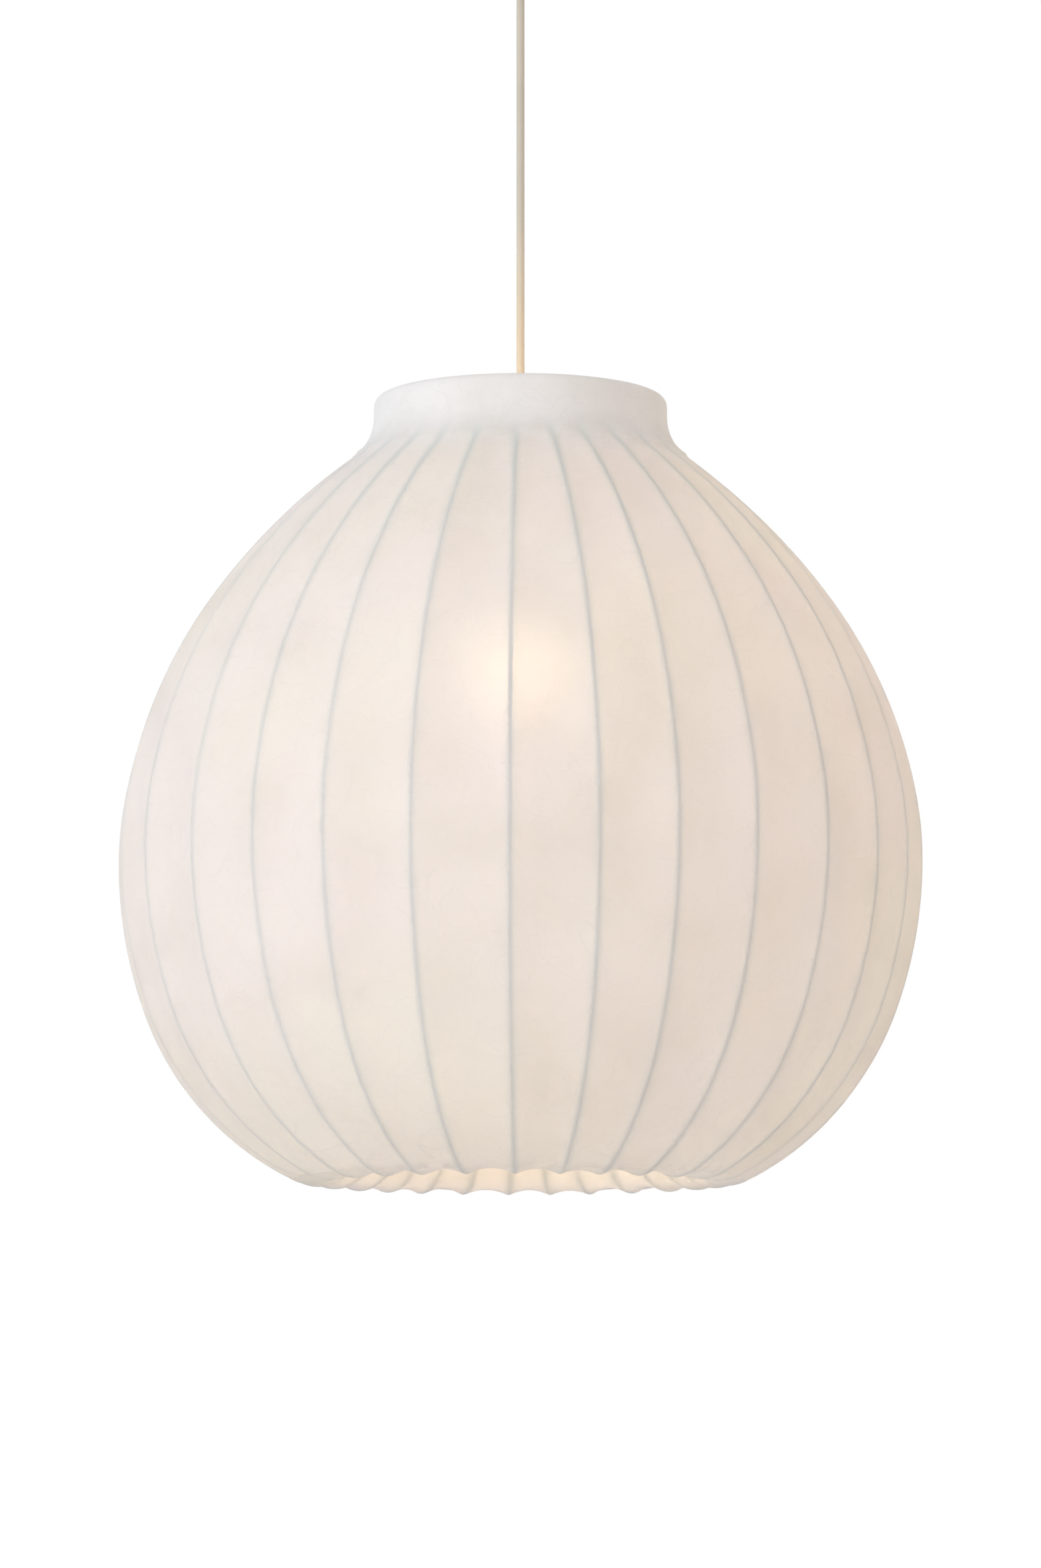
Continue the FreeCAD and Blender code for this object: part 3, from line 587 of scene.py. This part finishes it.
# %% [markdown]
# ## The bulb
#
# A bulb is what the film is for. Its opal dome is a part of a sphere that runs into a plastic neck, and a
# rolled screw cap carries the round 27 mm thread. The dome itself glows, so it is a diffuse emitter rather
# than a lamp inside clear glass: the shade then gets soft light and real shadows of its wires. It glows most
# straight down, where a light board throws its light, and a little more on its right flank than on its left.

# %% Bulb
DOME_MIDDLE, DOME_RADIUS, DOME_WALL, DOME_CUT = 320.0, 30.0, 1.0, 336.95


def dome_side(radius, steps):
    """An arc of the dome in section, from its lowest point to its cut: radius cos t and sin t."""
    top = math.asin((DOME_CUT - DOME_MIDDLE) / radius)
    t = np.linspace(-math.pi / 2, top, steps)
    return np.column_stack([np.maximum(radius * np.cos(t), 0.02), DOME_MIDDLE + radius * np.sin(t)])


dome_outline = np.vstack([dome_side(DOME_RADIUS, 40), dome_side(DOME_RADIUS - DOME_WALL, 40)[::-1]])
dome = place(lathe("opal_dome", dome_outline, 96), "bulb", "opal", "bulb_dome")
neck_outline = [(23.2, 337.0), (24.72, 337.0), (24.6, 340.0), (23.4, 345.5), (21.4, 351.0), (18.6, 357.0),
                (16.0, 362.4), (14.2, 367.0), (13.2, 371.35), (11.7, 371.35), (12.8, 366.6), (14.6, 362.0),
                (17.1, 356.4), (19.9, 350.2), (21.9, 345.0), (23.1, 340.0)]
neck = place(lathe("bulb_neck", rounded(neck_outline, 3.0, 4), 128), "bulb", "white_nylon", "bulb_neck")
CAP_PITCH, CAP_DEPTH = 3.62, 1.15
screw_outline = [(12.0, 371.4), *rows_between(13.2, 371.4, 391.8, 60), (13.0, 392.6), (7.8, 394.4),
                 (7.2, 394.4), (7.2, 393.0), (12.0, 391.6), *rows_between(12.0, 391.0, 372.0, 50)]
screw_cap = place(lathe(
    "screw_cap", rounded(screw_outline, 0.2, 2), 96,
    lambda a, r, z: screw_thread(a, r, z, CAP_PITCH, CAP_DEPTH, 11.5, 373.0, 392.4)
    * np.where(r > 12.6, 1.0, 0.95),
), "bulb", "zinc_screws", "bulb_cap")


GLOW_NECK, GLOW_FLANK, GLOW_DOWN = 21.0, 39.0, 110.0
LEAN_SIDES, LEAN_GLOW = (-0.024, 0.016), (0.35, 1.5)


def opal_finish():
    """Opal plastic that glows: warm emission, weaker towards the neck and on the left, under a satin skin."""
    made, add = new_finish("lit opal")
    spot = add("TexCoord").outputs["Object"]
    axes = add("SeparateXYZ", Vector=spot)
    level = axes.outputs["Z"]
    side = add("MapRange", Value=level, From_Min=height(338), From_Max=height(322),
               To_Min=GLOW_NECK, To_Max=GLOW_FLANK)
    below = add("MapRange", {"interpolation_type": "SMOOTHSTEP"}, Value=level, From_Min=height(312),
                From_Max=height(293), To_Min=0.0, To_Max=GLOW_DOWN)
    lean = add("MapRange", {"interpolation_type": "SMOOTHSTEP"}, Value=axes.outputs["X"],
               From_Min=LEAN_SIDES[0], From_Max=LEAN_SIDES[1], To_Min=LEAN_GLOW[0], To_Max=LEAN_GLOW[1])
    flank = add("Math", {"operation": "MULTIPLY"}, i0=side.outputs[0], i1=lean.outputs[0])
    glow = add("Math", {"operation": "ADD"}, i0=flank.outputs[0], i1=below.outputs[0])
    haze = add("TexNoise", Vector=spot, Scale=60.0, Detail=3.0).outputs["Fac"]
    tone = ramp(add, haze, (0.3, (0.93, 0.90, 0.84)), (0.7, (0.96, 0.94, 0.89)))
    shader = add("BsdfPrincipled", Base_Color=tone, Roughness=0.4, Emission_Color=(1.0, 0.75, 0.46, 1.0),
                 Emission_Strength=glow.outputs[0])
    add("OutputMaterial", Surface=shader.outputs[0])
    return made


dress(opal_finish(), dome)
dress(nylon, neck)
dress(zinc, screw_cap, "bulb_button")
glaze = coat("black glaze", (0.035, 0.035, 0.04), (0.02, 0.02, 0.025), (0.12, 0.22), 0.0, 60.0, 900.0, 0.02)
dress(glaze, "bulb_insulator")
board = coat("light board", (0.82, 0.81, 0.76), (0.74, 0.73, 0.68), (0.35, 0.5), 0.0, 200.0, 1200.0, 0.04)
dress(board, "light_board")
print("bulb dressed")

# %% [markdown]
# ## The ceiling fitting
#
# The cable ends in a plain turned canopy that hides a bar, a terminal block and the gland that grips the
# swivel ball. The canopy is spun from thin sheet, so its edge is a soft bevel and its rim is thin. The gland
# has finger flutes so that it can be turned by hand, and the nut on its thread is a plain hexagon.

# %% Canopy
SIDE_HOLE_LEVEL = 809.0
canopy_outline = [(5.1, 772.0), (43.0, 772.0), (46.4, 772.9), (49.0, 775.4), (50.0, 778.6), (50.0, 816.5),
                  (48.8, 816.5), (48.8, 779.0), (47.9, 776.4), (45.8, 774.2), (42.8, 773.2), (5.1, 773.2)]
canopy = place(lathe("canopy", rounded(canopy_outline, 1.4, 4), 160), "ceiling", "white_metal", "canopy")
dress(powder, canopy)

# %% Gland and swivel ball
PIVOT_LEVEL = 764.0


def ball_seat(radius, low, high, steps):
    """A run of the round seat in section between two levels: radius cos t and sin t about the pivot."""
    ends = [math.asin((level - PIVOT_LEVEL) / radius) for level in (low, high)]
    t = np.linspace(*ends, steps)
    return [(radius * math.cos(a), PIVOT_LEVEL + radius * math.sin(a)) for a in t]


def gland_flutes(angle, radius, level):
    """Sixteen shallow finger flutes on the gland's outer wall, faded at its ends."""
    low, high = (756.8, 762.6) if level.mean() < PIVOT_LEVEL else (765.2, 770.8)
    fade = smooth_step(level, low, low + 1.0) * (1 - smooth_step(level, high, high + 1.0))
    return -0.5 * (0.5 + 0.5 * np.cos(16 * angle)) * fade * (radius > 8.4)


low_gland = [(6.4, 756.0), (8.2, 756.0), *rows_between(9.0, 756.8, 763.2, 12), (9.0, 763.95),
             *ball_seat(6.1, 763.9, 760.1, 10), (4.65, 759.4), (6.3, 756.2)]
high_gland = [(6.1, 764.0), (9.0, 764.0), *rows_between(9.0, 764.8, 770.6, 12), (8.4, 771.95), (5.0, 771.95),
              (5.0, 782.0), (2.6, 782.0), (2.6, 769.6), *ball_seat(6.1, 769.4, 764.1, 10)]
gland_cap = place(lathe("gland_cap", rounded(low_gland, 0.25, 2), 128, gland_flutes),
                  "ceiling", "white_nylon", "gland_cap")
gland = place(lathe("gland", rounded(high_gland, 0.25, 2), 128, gland_flutes),
              "ceiling", "white_nylon", "cord_gland")
dress(nylon, gland_cap, gland, "gland_nut", "swivel_ball")

# %% Canopy screws
SCREW_BORE, SCREW_HEAD, SCREW_IN, SCREW_FACE, SCREW_OUT = 1.9, 3.5, 43.0, 50.05, 52.05
SCREW_COLUMNS, SLOT_HALF, SLOT_DEEP = 48, 0.45, 0.7


def side_screws(name):
    """Two pan-head screws with a slot, turned about the X axis: one on each side of the canopy.

    x = along, y = r cos a, z = r sin a; the head's face sinks along a slot 0.9 mm wide."""
    side = np.array([(0.0, SCREW_IN), (1.3, SCREW_IN), (SCREW_BORE, SCREW_IN + 0.6), (SCREW_BORE, SCREW_FACE),
                     (SCREW_HEAD, SCREW_FACE), (SCREW_HEAD, 51.2), (3.1, 51.8), (2.2, SCREW_OUT),
                     (1.2, SCREW_OUT), (0.5, SCREW_OUT), (0.0, SCREW_OUT)])
    side[:, 0] = np.maximum(side[:, 0], 0.01)
    angle = np.linspace(0, 2 * math.pi, SCREW_COLUMNS, endpoint=False)[None, :]
    radius, along = (np.repeat(column[:, None], SCREW_COLUMNS, 1) for column in side.T)
    up, across = radius * np.sin(angle), radius * np.cos(angle)
    along = along - SLOT_DEEP * (np.abs(across) < SLOT_HALF) * (along > 51.0)
    halves, faces = [], []
    for number, turn in enumerate((1.0, -1.0)):
        halves.append(np.stack([turn * along, turn * across, up + SIDE_HOLE_LEVEL - DROP], -1).reshape(-1, 3))
        faces.append(grid_faces(len(side), SCREW_COLUMNS, number * len(side) * SCREW_COLUMNS)[:, ::-1])
    return mesh_object(name, np.vstack(halves) * MM, np.vstack(faces), 30.0)


screws = place(side_screws("canopy_screws"), "ceiling", "zinc_screws", "canopy_screws")
dress(zinc, screws)

# %% [markdown]
# ## The cable's sheath
#
# The sheath is extruded plastic: grey-cream, satin, with faint lengthwise drag marks. Noise that is
# stretched along the cable gives those, where plain noise would look like stone. Light that leaves through
# the open collar warms its lower end, and a tone that turns warmer downwards stands for that.

# %% Sheath finish


WARM_STARTS, WARM_FULL = -0.18, -0.32


def sheath_finish():
    """Grey-cream plastic with marks drawn out along Z, by squeezing the height before the noise."""
    made, add = new_finish("cable sheath")
    spot = add("TexCoord").outputs["Object"]
    drawn = add("Mapping", Vector=spot, Scale=(1.0, 1.0, 0.02)).outputs[0]
    marks = add("TexNoise", Vector=drawn, Scale=900.0, Detail=3.0).outputs["Fac"]
    cloud = add("TexNoise", Vector=spot, Scale=18.0, Detail=3.0).outputs["Fac"]
    grey = ramp(add, cloud, (0.3, (0.61, 0.565, 0.475)), (0.7, (0.66, 0.61, 0.52)))
    warm = ramp(add, cloud, (0.3, (0.85, 0.70, 0.50)), (0.7, (0.89, 0.745, 0.55)))
    level = add("SeparateXYZ", Vector=spot).outputs["Z"]
    near = add("MapRange", {"interpolation_type": "SMOOTHSTEP"}, Value=level, From_Min=WARM_STARTS,
               From_Max=WARM_FULL, To_Min=0.0, To_Max=1.0).outputs[0]
    tone = add("Mix", {"data_type": "RGBA"}, i0=near, i6=grey, i7=warm).outputs[2]
    gloss = add("MapRange", Value=marks, From_Min=0.3, From_Max=0.7, To_Min=0.55, To_Max=0.68).outputs[0]
    bump = add("Bump", Strength=0.08, Distance=0.0002, Height=marks).outputs[0]
    shader = add("BsdfPrincipled", Base_Color=tone, Roughness=gloss, Normal=bump)
    add("OutputMaterial", Surface=shader.outputs[0])
    return made


sheath = sheath_finish()
dress(sheath, cable, "cable_tail")
print("sheath dressed")

# %% [markdown]
# ## Light and background
#
# The lamp hangs in a bright white room. Most of the light comes from everywhere at once. It could all be one
# colour, but a real room has sides: a sky with three colours is cool and weak on the left, bright in the
# middle and warm and weak on the right. It is also weaker straight overhead, so that the top of the shade
# isn't bleached. One large soft box on the left gives the shade its shape. The camera sees plain white behind
# the lamp, and a large pale floor lies far below.

# %% World
SKY_SIDES = ((0.565, 0.615, 0.635), (0.915, 0.90, 0.925), (0.61, 0.515, 0.41))
SKY_LOW, SKY_OVERHEAD = 1.22, 0.84
world = bpy.data.worlds.new("bright room")
bpy.context.scene.world = world
world.use_nodes = True
sky = world.node_tree
sky.nodes.clear()


def sky_node(kind, **inputs):
    """Adds a node to the sky and links or sets its inputs."""
    node = sky.nodes.new("ShaderNode" + kind)
    for key, value in inputs.items():
        socket = node.inputs[key.replace("_", " ")]
        if isinstance(value, bpy.types.NodeSocket):
            sky.links.new(value, socket)
        else:
            socket.default_value = value
    return node


axes = sky_node("SeparateXYZ", Vector=sky_node("TexCoord").outputs["Generated"])
across = sky_node("MapRange", Value=axes.outputs["X"], From_Min=-1.0, From_Max=1.0)
sides = sky_node("ValToRGB", Fac=across.outputs[0])
sides.color_ramp.elements.new(0.5)
for cell, colour in zip(sides.color_ramp.elements, SKY_SIDES):
    cell.color = (*colour, 1.0)
overhead = sky_node("MapRange", Value=axes.outputs["Z"], From_Min=0.0, From_Max=0.9, To_Min=SKY_LOW,
                    To_Max=SKY_OVERHEAD)
lit = sky_node("Background", Color=sides.outputs["Color"], Strength=overhead.outputs[0])
seen = sky_node("Background", Color=(1.0, 1.0, 1.0, 1.0), Strength=1.0)
split = sky_node("MixShader")
sky.links.new(sky_node("LightPath").outputs["Is Camera Ray"], split.inputs[0])
sky.links.new(lit.outputs[0], split.inputs[1])
sky.links.new(seen.outputs[0], split.inputs[2])
sky.links.new(split.outputs[0], sky_node("OutputWorld").inputs["Surface"])
bpy.context.scene.view_settings.view_transform = "Standard"
bpy.context.scene.view_settings.look = "None"
print("sky set")

# %% Floor and soft box
FLOOR_DROP, FLOOR_HALF = 2.3, 7.0
BOX_SIDE, BOX_WATTS, BOX_LEVEL = 1.6, 20.0, 650


def flat_square(name, half, z):
    """A flat square that faces up."""
    spots = np.array([(-half, -half, z), (half, -half, z), (half, half, z), (-half, half, z)])
    return mesh_object(name, spots, np.array([[0, 1, 2, 3]]))


floor = flat_square("pale_floor", FLOOR_HALF, -FLOOR_DROP)
dress(coat("pale_floor", (0.88, 0.88, 0.87), (0.84, 0.84, 0.83), (0.6, 0.75), 0.0, 3.0, 60.0, 0.02), floor)
soft_light = bpy.data.lights.new("soft_box", "AREA")
soft_light.shape = "RECTANGLE"
soft_light.size, soft_light.size_y = BOX_SIDE, BOX_SIDE
soft_light.energy = BOX_WATTS
soft_light.color = (1.0, 0.985, 0.96)
soft_box = bpy.data.objects.new("soft_box", soft_light)
soft_box.location = (-2.2, -1.6, height(BOX_LEVEL))
soft_box.rotation_euler = (math.radians(80), 0.0, math.radians(-54))
bpy.context.collection.objects.link(soft_box)
print("lights set")
